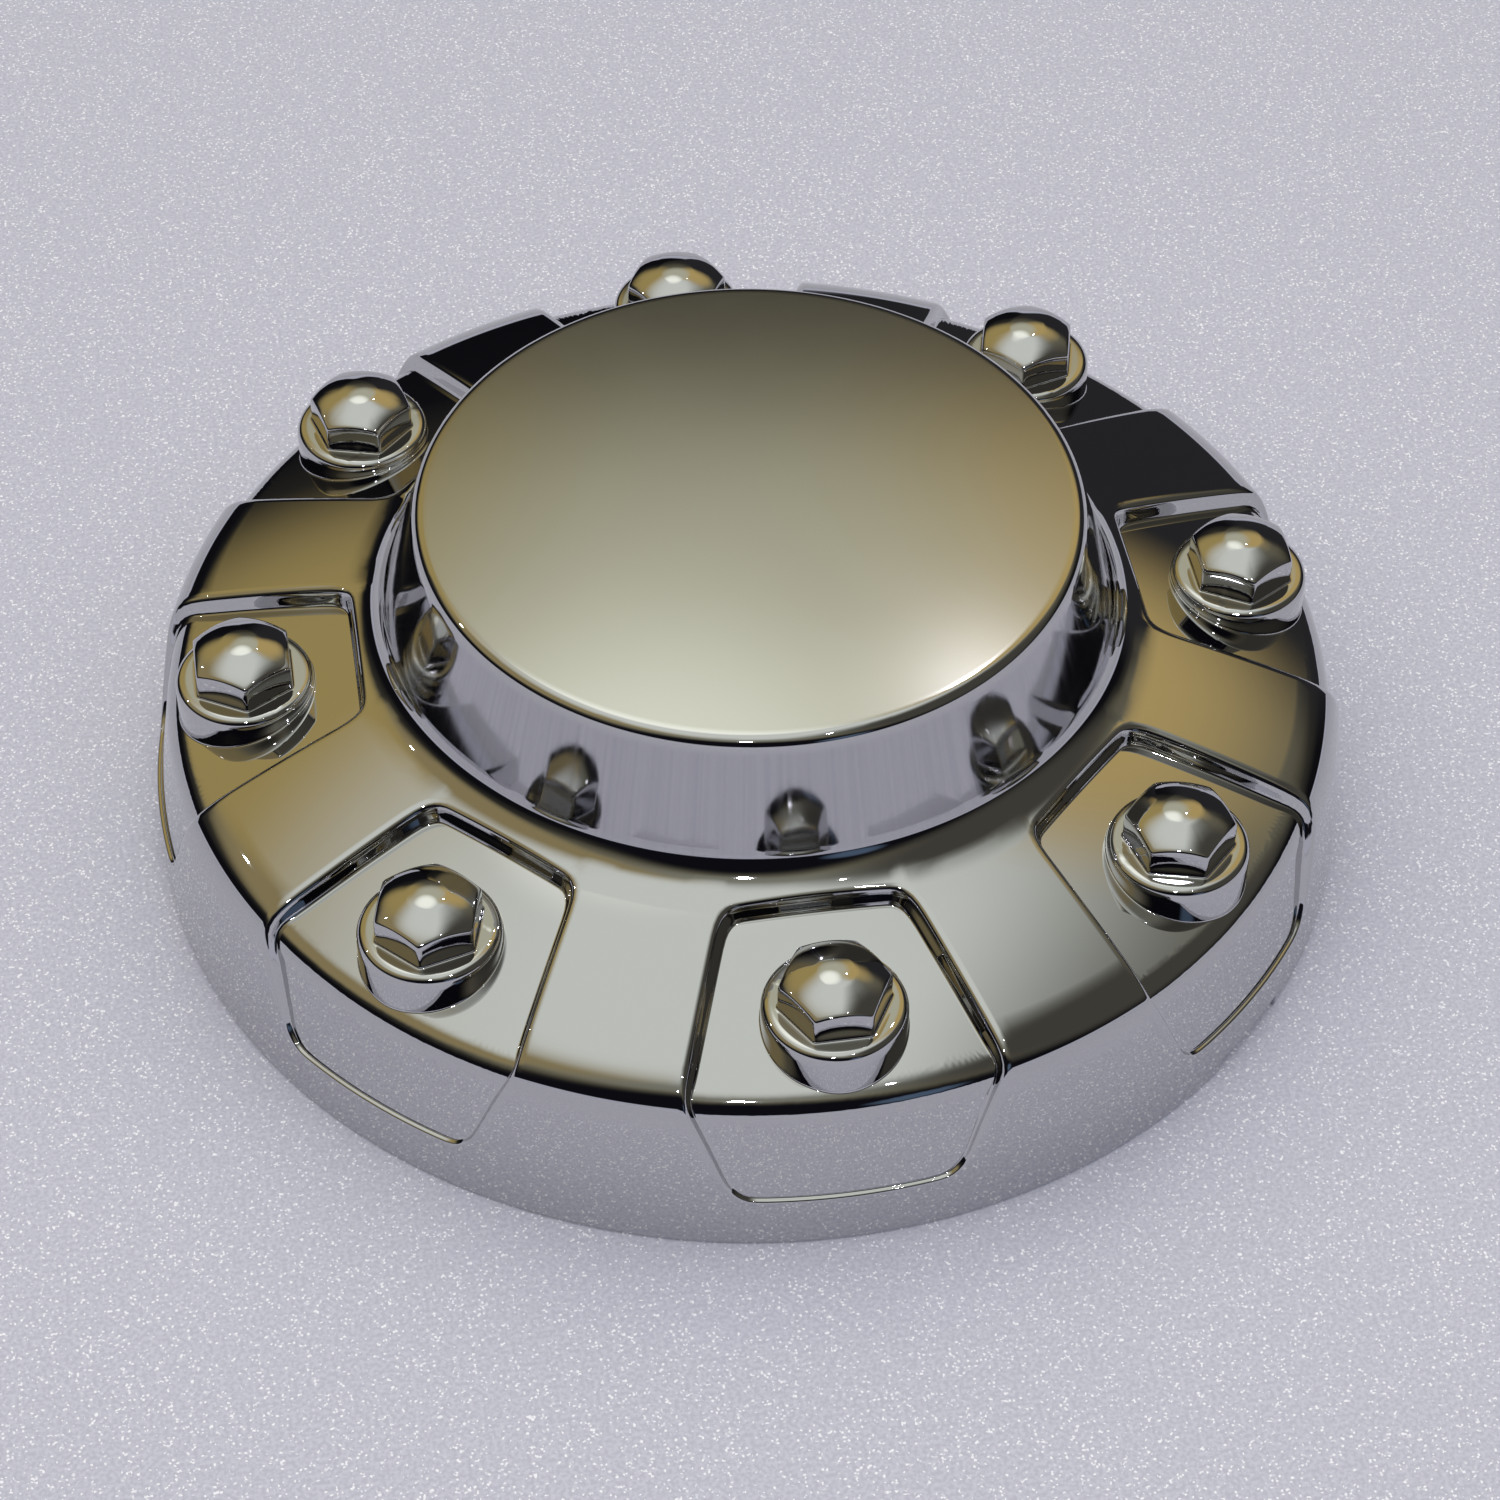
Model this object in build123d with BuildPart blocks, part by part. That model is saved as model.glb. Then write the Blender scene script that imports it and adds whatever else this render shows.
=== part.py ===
from build123d import *
import os
from math import hypot, sqrt

# Chromed hubcap for a wheel with eight nuts, moulded in one piece.
# The axis is Z, the open rim stands on Z = 0, and one nut pocket faces -Y.
# All sizes are in millimetres and degrees.

# Wheel
nut_count = 8
nut_circle_diameter = 225.0

# Wall of the moulding
wall = 2.8
inside_corner_radius = 0.6

# Skirt and shoulder
base_diameter = 271.0
skirt_height = 41.8
skirt_bulge_radius = 230.0
shoulder_edge_radius = 9.0

# Notches in the open rim, each under a nut pocket, a few pockets apart
notch_count = 2
notch_spacing = 3
notch_width = 23.0
notch_height = 3.6

# Centre drum
drum_foot_diameter = 164.6
drum_foot_height = 55.4
drum_foot_fillet = 11.0
drum_rim_diameter = 145.4
drum_rim_height = 85.9
drum_rim_radius = 2.8
dome_crown = 4.4

# Nut pocket, seen from above
pocket_inner_distance = 87.1
pocket_inner_width = 40.0
pocket_outer_distance = 129.4
pocket_outer_width = 69.6
pocket_corner_radius = 4.5
pocket_inner_depth = 4.7
pocket_outer_depth = 3.7

# Nut pocket where it runs down the skirt
pocket_bend_height = 40.0
pocket_foot_height = 13.6
pocket_foot_width = 48.0
pocket_foot_corner_radius = 6.0
pocket_top_recess = 2.2
pocket_foot_recess = 0.9
pocket_edge_radius = 7.0

# Round boss in each pocket
boss_diameter = 30.6
boss_height = 49.6
boss_edge_radius = 1.6
boss_root_height = 30.0

# Moulded hexagon nut head on each boss
nut_across_flats = 20.8
nut_height = 10.1
nut_dome_radius = 20.0
nut_crown_wall = 3.2

base_radius = base_diameter / 2
drum_foot_radius = drum_foot_diameter / 2
drum_rim_reach = drum_rim_diameter / 2
nut_circle_radius = nut_circle_diameter / 2
top_height = drum_rim_height + dome_crown
beyond = base_radius + nut_circle_radius
first_pocket_angle = -90
pocket_step = 360 / nut_count


def skirt_radius(height):
    """Radius of the bulged skirt at a height; it stands upright at the rim."""
    return base_radius - skirt_bulge_radius + sqrt(skirt_bulge_radius**2 - height**2)


def pocket_half_width(distance):
    """Half the width of a pocket, seen from above, at a distance from the axis."""
    share = (distance - pocket_inner_distance) / (pocket_outer_distance - pocket_inner_distance)
    return (pocket_inner_width + share * (pocket_outer_width - pocket_inner_width)) / 2


def crown_radius(outer, inner):
    """Radius of the ball about the axis that runs through two points of a half section."""
    centre_height = (hypot(*outer) ** 2 - hypot(*inner) ** 2) / (2 * (outer[1] - inner[1]))
    return hypot(outer[0], outer[1] - centre_height)


def shell_path(depth):
    """Half section at a depth under the outside, from the open rim up to the crown."""
    bulge = skirt_bulge_radius - depth
    bulge_centre = base_radius - skirt_bulge_radius
    edge_height = skirt_height - depth
    edge = (bulge_centre + sqrt(bulge**2 - edge_height**2), edge_height)
    run = drum_foot_radius - drum_rim_reach
    rise = drum_rim_height - drum_foot_height
    shift = depth * (hypot(run, rise) - run) / rise
    foot = (drum_foot_radius - shift, drum_foot_height - depth)
    rim = (drum_rim_reach - shift, drum_rim_height - depth)
    dome_radius = (rim[0] ** 2 + dome_crown**2) / (2 * dome_crown)
    with BuildLine() as path:
        RadiusArc((base_radius - depth, 0), edge, -bulge)
        RadiusArc(edge, foot, -crown_radius(edge, foot))
        Line(foot, rim)
        RadiusArc(rim, (0, top_height - depth), -dome_radius)
        corners = path.vertices().sort_by(Axis.X)
        fillet(corners[1], max(drum_rim_radius - depth, inside_corner_radius))
        fillet(corners[2], drum_foot_fillet + depth)
        fillet(corners[3], shoulder_edge_radius - depth)
    return path


def pocket_floor_path(depth):
    """Half section at a depth under a pocket's floor, from the rim up and in to the axis."""
    foot = skirt_radius(pocket_foot_height) - pocket_foot_recess - depth
    bend = skirt_radius(pocket_bend_height) - pocket_top_recess - depth
    lean = (foot - bend) / (pocket_bend_height - pocket_foot_height)
    edge_height = skirt_height - pocket_outer_depth - depth
    edge = (foot - lean * (edge_height - pocket_foot_height), edge_height)
    head = (drum_foot_radius, drum_foot_height - pocket_inner_depth - depth)
    with BuildLine() as path:
        Line((foot + lean * pocket_foot_height, 0), edge)
        RadiusArc(edge, head, -crown_radius(edge, head))
        Line(head, (0, head[1]))
        fillet(path.vertices().sort_by(Axis.X)[2], pocket_edge_radius - depth)
    return path


def spun(path):
    """Solid of everything between a half section and the axis, down to the rim."""
    with BuildPart() as solid:
        with BuildSketch(Plane.XZ):
            with BuildLine():
                add(path.line)
                Polyline(path.line @ 1, (0, 0), path.line @ 0)
            make_face()
        revolve(axis=Axis.Z)
    return solid.part


def pocket_column(margin):
    """Upright body of one pocket that faces +X, widened all round by a margin."""
    inner = pocket_inner_distance
    bend = sqrt(skirt_radius(pocket_bend_height) ** 2 - (pocket_outer_width / 2) ** 2)
    half_inner = pocket_half_width(inner)
    half_beyond = pocket_half_width(beyond)
    half_bend = pocket_half_width(bend)
    half_foot = pocket_foot_width / 2
    with BuildPart() as column:
        with BuildSketch():
            with BuildLine():
                Polyline(
                    (inner, -half_inner),
                    (beyond, -half_beyond),
                    (beyond, half_beyond),
                    (inner, half_inner),
                    close=True,
                )
            plan = make_face()
            fillet(plan.vertices().group_by(Axis.X)[0], pocket_corner_radius)
            if margin:
                offset(amount=margin, mode=Mode.REPLACE)
        extrude(amount=top_height)
        with BuildSketch(Plane.YZ):
            with BuildLine():
                Polyline(
                    (-half_foot, pocket_foot_height),
                    (-half_bend, pocket_bend_height),
                    (-half_beyond, pocket_bend_height),
                    (-half_beyond, top_height),
                    (half_beyond, top_height),
                    (half_beyond, pocket_bend_height),
                    (half_bend, pocket_bend_height),
                    (half_foot, pocket_foot_height),
                    close=True,
                )
            front = make_face()
            fillet(front.vertices().group_by(Axis.Y)[0], pocket_foot_corner_radius)
            if margin:
                offset(amount=margin, mode=Mode.REPLACE)
        extrude(amount=beyond + margin, mode=Mode.INTERSECT)
    return column.part


# Space of one pocket above its floor
with BuildPart() as pocket:
    add(pocket_column(0))
    add(spun(pocket_floor_path(0)), mode=Mode.SUBTRACT)

# The same with the wall round it and under it
with BuildPart() as tray:
    add(pocket_column(wall))
    add(spun(pocket_floor_path(wall)), mode=Mode.SUBTRACT)

# One round boss
with BuildPart() as boss:
    with BuildSketch(Plane.XY.offset(boss_root_height)):
        with Locations((nut_circle_radius, 0)):
            Circle(boss_diameter / 2)
    extrude(amount=boss_height - boss_root_height)
    fillet(boss.edges().group_by(Axis.Z)[-1], boss_edge_radius)

# The domed hexagon head on it
with BuildPart() as nut:
    with BuildSketch(Plane.XY.offset(boss_height - wall)):
        with Locations((nut_circle_radius, 0)):
            RegularPolygon(nut_across_flats / 2, 6, major_radius=False, rotation=30)
    extrude(amount=nut_height + wall)
    with Locations((nut_circle_radius, 0, boss_height + nut_height - nut_dome_radius)):
        # The ball lies on its side, so that its poles stay away from the crown
        Sphere(nut_dome_radius, rotation=(90, 0, 0), mode=Mode.INTERSECT)

# Hollow inside one boss and its head
with BuildPart() as socket:
    with BuildSketch():
        with Locations((nut_circle_radius, 0)):
            Circle(boss_diameter / 2 - wall)
    extrude(amount=boss_height - wall)
    with BuildSketch():
        with Locations((nut_circle_radius, 0)):
            RegularPolygon(nut_across_flats / 2 - wall, 6, major_radius=False, rotation=30)
    extrude(amount=boss_height + nut_height - nut_crown_wall)

# The hollow behind the whole cap
with BuildPart() as hollow:
    add(spun(shell_path(wall)))
    with PolarLocations(0, nut_count, start_angle=first_pocket_angle):
        add(tray.part, mode=Mode.SUBTRACT)

# One notch in the rim, from the axis out through the skirt
with BuildPart() as notch:
    with BuildSketch(Plane.YZ):
        Rectangle(notch_width, notch_height, align=(Align.CENTER, Align.MIN))
    extrude(amount=beyond)

with BuildPart() as hubcap:
    add(spun(shell_path(0)))
    with PolarLocations(0, nut_count, start_angle=first_pocket_angle):
        add(pocket.part, mode=Mode.SUBTRACT)
    with PolarLocations(0, nut_count, start_angle=first_pocket_angle):
        add(boss.part)
        add(nut.part)
    add(hollow.part, mode=Mode.SUBTRACT)
    with PolarLocations(0, nut_count, start_angle=first_pocket_angle):
        add(socket.part, mode=Mode.SUBTRACT)
    with PolarLocations(
        0,
        notch_count,
        start_angle=first_pocket_angle + pocket_step,
        angular_range=-notch_spacing * pocket_step,
        endpoint=True,
    ):
        add(notch.part, mode=Mode.SUBTRACT)

os.makedirs("parts", exist_ok=True)
hubcap.part.label = "hubcap"
export_step(hubcap.part, "parts/hubcap.step")
print("hubcap", len(hubcap.part.solids()), round(hubcap.part.volume), hubcap.part.bounding_box())
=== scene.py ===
# %% [markdown]
# # A chromed hubcap, modelled as one moulding
#
# The real cap is a single plastic moulding with chrome plating: a domed drum in the
# middle, a crowned shoulder round it, a skirt down to the open rim, and eight pockets,
# each with a round boss and a hexagon head that hides a wheel nut.
# This lesson loads the engineering model as a fixed frame, then draws the same form
# again as one smooth subdivision surface, because mirror plating shows every facet.

# %% Load the frame
import math

import bmesh
import bpy
import numpy as np
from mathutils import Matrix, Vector


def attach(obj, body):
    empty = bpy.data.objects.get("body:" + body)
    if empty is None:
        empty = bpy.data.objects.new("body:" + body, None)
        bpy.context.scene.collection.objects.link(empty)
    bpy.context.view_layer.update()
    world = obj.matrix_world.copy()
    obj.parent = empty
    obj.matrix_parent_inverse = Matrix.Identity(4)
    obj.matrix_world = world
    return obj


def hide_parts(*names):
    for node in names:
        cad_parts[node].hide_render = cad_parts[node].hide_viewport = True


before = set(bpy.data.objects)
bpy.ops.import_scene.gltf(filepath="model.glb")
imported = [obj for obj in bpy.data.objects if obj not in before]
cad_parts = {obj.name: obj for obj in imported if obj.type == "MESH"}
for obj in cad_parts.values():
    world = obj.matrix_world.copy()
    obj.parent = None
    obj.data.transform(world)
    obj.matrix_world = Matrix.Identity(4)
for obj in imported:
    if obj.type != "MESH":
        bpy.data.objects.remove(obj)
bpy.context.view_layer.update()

# %% [markdown]
# ## The camera comes first
#
# The photograph looks down on the cap at about 44 degrees with a long lens. The camera
# stands where the picture's own perspective puts it, and the picture is square.

# %% Camera
IMAGE_SIZE = 1500
CAMERA_PLACE = Vector((-0.1000, -0.6132, 0.6533))
CAMERA_TARGET = Vector((0.0005, -0.0001, 0.0078))
CAMERA_ROLL = math.radians(0.4554)
SENSOR = 36.0
FOCAL_PIXELS = 3874.9

camera_data = bpy.data.cameras.new("camera")
camera_data.sensor_width = SENSOR
camera_data.lens = FOCAL_PIXELS * SENSOR / IMAGE_SIZE
camera = bpy.data.objects.new("camera", camera_data)
bpy.context.collection.objects.link(camera)
bpy.context.scene.camera = camera
camera.location = CAMERA_PLACE
sight = (CAMERA_TARGET - CAMERA_PLACE).to_track_quat("-Z", "Y")
camera.rotation_euler = sight.to_matrix().to_4x4().to_euler()
camera.rotation_euler.rotate_axis("Z", CAMERA_ROLL)
print("lens in mm:", round(camera_data.lens, 1))

# %% [markdown]
# ## Sizes of the moulding
#
# These are the few sizes that drive the form, in millimetres. Heights are above the
# open rim, and a pair is a radius and a height. They repeat the sizes of the engineering
# model, so that both have the same outside.

# %% Sizes
MM = 0.001
SECTORS = 8
SECTOR_HALF = math.pi / SECTORS
WALL = 2.8

TOP = 90.3
CROWN = 4.4
RIM = (72.7, 85.9)
RIM_ROUND = 2.8
FOOT = (82.3, 55.4)
FOOT_ROUND = 11.0
EDGE_HEIGHT = 41.8
EDGE_ROUND = 9.0
BASE_RADIUS = 135.5
SKIRT_ROUND = 230.0

POCKET_INNER = 87.1
POCKET_INNER_HALF = 20.0
POCKET_SPREAD = 0.35
POCKET_BEND_HEIGHT = 40.0
POCKET_FOOT_HEIGHT = 13.6
POCKET_FOOT_HALF = 24.0
POCKET_INNER_DEPTH = 4.7
POCKET_OUTER_DEPTH = 3.7
POCKET_TOP_RECESS = 2.2
POCKET_FOOT_RECESS = 0.9
POCKET_EDGE_ROUND = 7.0

NOTCH_WIDTH = 23.0
NOTCH_HEIGHT = 3.6
NOTCH_ANGLES = (-45.0, 180.0)

NUT_CIRCLE = 112.5
BOSS_RADIUS = 15.3
BOSS_TOP = 49.6
HEX_HALF = 10.4
HEX_CORNER = HEX_HALF / math.cos(math.radians(30))
HEX_HEIGHT = 10.1
HEX_DOME = 20.0
HEAD_WALL = 3.2
print("across and high in mm:", 2 * BASE_RADIUS, TOP)

# %% [markdown]
# ## Lines that can be measured
#
# The moulding is the same all the way round, apart from its pockets and notches, so one
# half section says most of its form. It could be a Bezier curve with handles, but arcs
# give the roundings their true radius. Each run is kept as points a tenth of a
# millimetre apart, and two runs that meet are trimmed to take a rounding between them.
# A path joins the runs, and can be asked for a place and a normal at any distance.

# %% Arcs and straight runs
STEP = 0.1


def arc(start, end, radius):
    """Points of an arc; a positive radius turns left on the way from start to end."""
    start, end = np.array(start), np.array(end)
    chord = end - start
    length = np.hypot(*chord)
    left = np.array((-chord[1], chord[0])) / length
    rise = math.copysign(math.sqrt(radius**2 - length**2 / 4), radius)
    centre = (start + end) / 2 + left * rise
    first = np.arctan2(*(start - centre)[::-1])
    turn = math.copysign(2 * math.asin(length / 2 / abs(radius)), radius)
    steps = max(2, int(length / STEP))
    angles = first + turn * np.arange(steps + 1) / steps
    return centre + abs(radius) * np.stack((np.cos(angles), np.sin(angles)), 1)


def crown_round(outer, inner):
    """Radius of the ball about the axis that runs through two points of a section."""
    centre = (np.dot(outer, outer) - np.dot(inner, inner)) / (2 * (outer[1] - inner[1]))
    return math.hypot(outer[0], outer[1] - centre)


def straight(start, end):
    """Points of a straight run."""
    start, end = np.array(start), np.array(end)
    steps = max(2, int(np.hypot(*(end - start)) / STEP))
    return start + (end - start) * (np.arange(steps + 1) / steps)[:, None]


print("points on a straight run of 10 mm:", len(straight((0, 0), (10, 0))))


# %% Roundings between runs
def side_step(points, amount):
    """The same points moved to the left of their path by an amount."""
    along = np.gradient(points, axis=0)
    along /= np.hypot(along[:, 0], along[:, 1])[:, None]
    return points + amount * np.stack((-along[:, 1], along[:, 0]), 1)


def round_corner(before, after, radius):
    """Trims two runs that meet and returns both with the rounding between them."""
    first, second = side_step(before, radius), side_step(after, radius)
    gaps = np.hypot(*(first[:, None] - second[None]).transpose(2, 0, 1))
    i, j = np.unravel_index(gaps.argmin(), gaps.shape)
    rounding = arc(before[i], after[j], radius)
    return before[: i + 1], rounding[1:-1], after[j:]


# %% A path along the runs
NORMAL_REACH = 0.4


class Path:
    """A half section that can be asked for a point and a normal at any distance along it."""

    def __init__(self, runs):
        self.points = np.concatenate(runs)
        steps = np.hypot(*np.diff(self.points, axis=0).T)
        self.distance = np.concatenate(([0.0], np.cumsum(steps)))
        ends = np.cumsum([len(run) for run in runs]) - 1
        self.ends = [self.distance[end] for end in ends]
        self.length = self.distance[-1]

    def at(self, distance):
        return np.array([np.interp(distance, self.distance, self.points[:, k]) for k in (0, 1)])

    def normal(self, distance):
        along = self.at(distance + NORMAL_REACH) - self.at(distance - NORMAL_REACH)
        return np.array((-along[1], along[0])) / np.hypot(*along)

    def inside(self, distance, depth):
        return self.at(distance) - depth * self.normal(distance)

    def where_radius(self, radius, start=0.0):
        ahead = self.distance >= start
        return np.interp(radius, self.points[ahead, 0], self.distance[ahead])

    def where_height(self, height, start=0.0):
        ahead = self.distance >= start
        return np.interp(-height, -self.points[ahead, 1], self.distance[ahead])


# %% [markdown]
# ## The half section of the outside
#
# From the top of the dome the section runs over a small rim, down the leaning wall of
# the drum, through a hollow fillet, over the crowned shoulder and down the skirt, which
# bulges a little. The shoulder is part of a ball whose centre is on the axis. The marks
# that are printed say how far along the section each run ends.

# %% Half section of the outside
def skirt_radius(height):
    """Radius of the bulged skirt at a height; it stands upright at the rim."""
    return BASE_RADIUS - SKIRT_ROUND + math.sqrt(SKIRT_ROUND**2 - height**2)


DOME_ROUND = (RIM[0] ** 2 + CROWN**2) / (2 * CROWN)
EDGE = (skirt_radius(EDGE_HEIGHT), EDGE_HEIGHT)

dome_run = arc((0.0, TOP), RIM, -DOME_ROUND)
drum_run = straight(RIM, FOOT)
shoulder_run = arc(FOOT, EDGE, -crown_round(EDGE, FOOT))
skirt_run = arc(EDGE, (BASE_RADIUS, 0.0), -SKIRT_ROUND)

shoulder_run, edge_run, skirt_run = round_corner(shoulder_run, skirt_run, -EDGE_ROUND)
floor_guide = Path([shoulder_run, edge_run, skirt_run])
dome_run, rim_run, drum_run = round_corner(dome_run, drum_run, -RIM_ROUND)
drum_run, foot_run, shoulder_run = round_corner(drum_run, shoulder_run, FOOT_ROUND)
skin = Path([dome_run, rim_run, drum_run, foot_run, shoulder_run, edge_run, skirt_run])
RIM_START, RIM_END, FOOT_START, FOOT_END, _, EDGE_END, BASE = skin.ends
GUIDE_SHIFT = skin.length - floor_guide.length
print("skin marks in mm:", [round(v, 1) for v in skin.ends])

# %% [markdown]
# ## One pocket in flat coordinates
#
# A pocket wraps over the shoulder and down the skirt, so it is drawn in the pair
# (across, along): how far it lies beside the pocket's middle, and how far down the
# half section. Every ring of vertices has the same count, 48, so that the outline of
# the pocket, the round boss and the hexagon head can follow each other ring by ring.

# %% Pocket outline
RING = 48
FOOT_CELLS = 5
SIDE_CELLS = 14
COLUMN_SHARES = (0.0, 0.25, 0.5, 0.72, 0.88, 1.0)
SIDE_SHARES = (0.0, 0.055, 0.14, 0.24, 0.34, 0.44, 0.52, 0.59,
               0.645, 0.7, 0.75, 0.83, 0.895, 0.945, 1.0)
A_HAIR = 0.001
WIDTH_ROUNDS = 8
CORNER_EASE = 0.8


def pocket_half(distance):
    """Half the width of the pocket at a distance down the section."""
    radius, height = skin.at(distance)
    if height < POCKET_BEND_HEIGHT:
        share = (height - POCKET_FOOT_HEIGHT) / (POCKET_BEND_HEIGHT - POCKET_FOOT_HEIGHT)
        widest = pocket_half(bend_distance)
        return POCKET_FOOT_HALF + share * (widest - POCKET_FOOT_HALF)
    # The width depends on the reach and the reach on the width, so both come in rounds
    across = POCKET_INNER_HALF
    for _ in range(WIDTH_ROUNDS):
        reach = math.sqrt(max(radius**2 - across**2, 0.0))
        across = POCKET_INNER_HALF + POCKET_SPREAD * (reach - POCKET_INNER)
    return across


def inner_distance(across):
    """Distance down the section to the straight inner edge of the pocket."""
    return skin.where_radius(math.hypot(POCKET_INNER, across), FOOT_START)


bend_distance = skin.where_height(POCKET_BEND_HEIGHT + A_HAIR, FOOT_END)
foot_distance = skin.where_height(POCKET_FOOT_HEIGHT, EDGE_END)
corner_distance = inner_distance(POCKET_INNER_HALF)
side_rows = [corner_distance + s * (foot_distance - corner_distance) for s in SIDE_SHARES]

quarter = [(POCKET_FOOT_HALF * s, foot_distance) for s in COLUMN_SHARES]
quarter += [(pocket_half(row), row) for row in reversed(side_rows[:-1])]
quarter += [
    (POCKET_INNER_HALF * s, inner_distance(POCKET_INNER_HALF * s))
    for s in reversed(COLUMN_SHARES[:-1])
]
outline = np.array(quarter + [(-across, along) for across, along in quarter[-2:0:-1]])
print("outline points:", len(outline))


# %% Corners and moves of an outline
def ease_corners(points, corners, share):
    """Draws single corner points towards the middle of their neighbours."""
    eased = points.copy()
    for k in corners:
        middle = (points[k - 1] + points[(k + 1) % len(points)]) / 2
        eased[k] = points[k] + share * (middle - points[k])
    return eased


def move_in(points, amount):
    """The closed outline moved inwards, by one amount or by one for each point."""
    ahead = np.roll(points, -1, 0) - points
    ahead /= np.hypot(*ahead.T)[:, None]
    normals = np.stack((-ahead[:, 1], ahead[:, 0]), 1)
    before = np.roll(normals, 1, 0)
    mitre = normals + before
    mitre /= (1 + (normals * before).sum(1))[:, None]
    middle = points.mean(0)
    sign = np.sign(((middle - points) * mitre).sum())
    return points + sign * np.reshape(amount, (-1, 1)) * mitre


inner_corner = FOOT_CELLS + SIDE_CELLS
outline = ease_corners(outline, (FOOT_CELLS, RING - FOOT_CELLS), CORNER_EASE)
outline = ease_corners(outline, (inner_corner, RING - inner_corner), CORNER_EASE)
print("half the pocket's width in mm:", outline[:, 0].max().round(2))

# %% [markdown]
# ## The floor of a pocket
#
# The floor of each pocket lies a few millimetres under the shoulder and the skirt, and
# bends down in front with a rounding of its own. It could be an offset of the skin, but
# its depth isn't even, so it gets a half section of its own. A list of marks pairs each
# distance down the skin with the nearest one down the floor, so that a place in the
# pocket's flat coordinates can be laid on either.

# %% Floor of the pocket
MARK_STEP = 0.5

floor_foot = skirt_radius(POCKET_FOOT_HEIGHT) - POCKET_FOOT_RECESS
floor_bend = skirt_radius(POCKET_BEND_HEIGHT) - POCKET_TOP_RECESS
lean = (floor_foot - floor_bend) / (POCKET_BEND_HEIGHT - POCKET_FOOT_HEIGHT)
floor_edge_height = EDGE_HEIGHT - POCKET_OUTER_DEPTH
floor_edge = (floor_foot - lean * (floor_edge_height - POCKET_FOOT_HEIGHT), floor_edge_height)
floor_head = (FOOT[0], FOOT[1] - POCKET_INNER_DEPTH)

top_run = arc(floor_head, floor_edge, -crown_round(floor_edge, floor_head))
front_run = straight(floor_edge, (floor_foot + lean * POCKET_FOOT_HEIGHT, 0.0))
pocket_floor = Path(round_corner(top_run, front_run, -POCKET_EDGE_ROUND))

guide_marks = np.arange(0.0, floor_guide.length, MARK_STEP)
floor_marks = []
for mark in guide_marks:
    gaps = np.hypot(*(pocket_floor.points - floor_guide.at(mark)).T)
    floor_marks.append(pocket_floor.distance[gaps.argmin()])
print("pocket floor, length and marks in mm:", [round(v, 1) for v in pocket_floor.ends])


# %% Places on the skin and on the floor
def floor_distance(along):
    """Distance down the floor's own section that lies under a distance down the skin."""
    return np.interp(along - GUIDE_SHIFT, guide_marks, floor_marks)


def round_axis(radius, angle, height):
    """A place at an angle round the axis, in metres."""
    return MM * Vector((radius * math.cos(angle), radius * math.sin(angle), height))


def skin_place(across, along, depth=0.0):
    """A place on the skin, or at a depth under it, in metres."""
    radius, height = skin.inside(along, depth)
    return round_axis(radius, math.asin(across / skin.at(along)[0]), height)


def floor_place(across, along, depth=0.0):
    """A place on the pocket's floor, or at a depth under it, in metres."""
    radius, height = pocket_floor.inside(floor_distance(along), depth)
    return round_axis(radius, math.asin(across / skin.at(along)[0]), height)


def floor_coordinates(radius, angle):
    """(across, along) of the floor under a plan place at polar coordinates."""
    along = np.interp(pocket_floor.where_radius(radius), floor_marks, guide_marks) + GUIDE_SHIFT
    return math.sin(angle) * skin.at(along)[0], along


# %% [markdown]
# ## Rings of the boss and its head
#
# A round boss stands in each pocket, and the hexagon head on it, with its domed top,
# hides a wheel nut. They could be a cylinder and a prism that are cut into the floor, but
# then the joins would be long thin faces. Here both are rings of the same 48 places as
# the pocket, so that the faces between them are quads. Each side of the hexagon has
# eight of them, crowded at its corners to keep them crisp.

# %% Rings of the boss and the hexagon head
HEX_SHARES = (0.0, 0.06, 0.2, 0.36, 0.5, 0.64, 0.8, 0.94)
SIDE_PLACES = RING // 6
ROUND_SHARE = math.cos(math.radians(15))


def ring_angle(k):
    """Angle of place k, counted from the side that faces outwards."""
    return 2 * math.pi * k / RING


def circle_place(k, radius, height):
    """Place k on a circle round the middle of the boss, in metres."""
    return MM * Vector(
        (NUT_CIRCLE + radius * math.cos(ring_angle(k)), radius * math.sin(ring_angle(k)), height)
    )


def hexagon_plan(k, corner):
    """Plan place k on a hexagon round the boss, with a flat facing outwards."""
    side, cell = divmod(k - SIDE_PLACES // 2, SIDE_PLACES)
    first = math.radians(30 + 60 * side)
    start = np.array((math.cos(first), math.sin(first)))
    end = np.array((math.cos(first + math.pi / 3), math.sin(first + math.pi / 3)))
    return corner * (start + HEX_SHARES[cell] * (end - start))


def head_place(k, corner, roundness, height=None):
    """Place k on a ring of the head; without a height it lies on the domed top."""
    flat = hexagon_plan(k, corner)
    direction = flat / np.hypot(*flat)
    plan = (1 - roundness) * flat + roundness * direction * corner * ROUND_SHARE
    if height is None:
        centre = BOSS_TOP + HEX_HEIGHT - HEX_DOME
        height = centre + math.sqrt(HEX_DOME**2 - plan @ plan)
    return MM * Vector((NUT_CIRCLE + plan[0], plan[1], height))


boss_foot = []
for k in range(RING):
    plan = np.array(circle_place(k, BOSS_RADIUS, 0.0)) / MM
    boss_foot.append(floor_coordinates(math.hypot(plan[0], plan[1]), math.atan2(plan[1], plan[0])))
boss_foot = np.array(boss_foot)
far, near = boss_foot[0][1], boss_foot[RING // 2][1]
print("boss foot, outer and inner distance in mm:", far.round(1), near.round(1))

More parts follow.
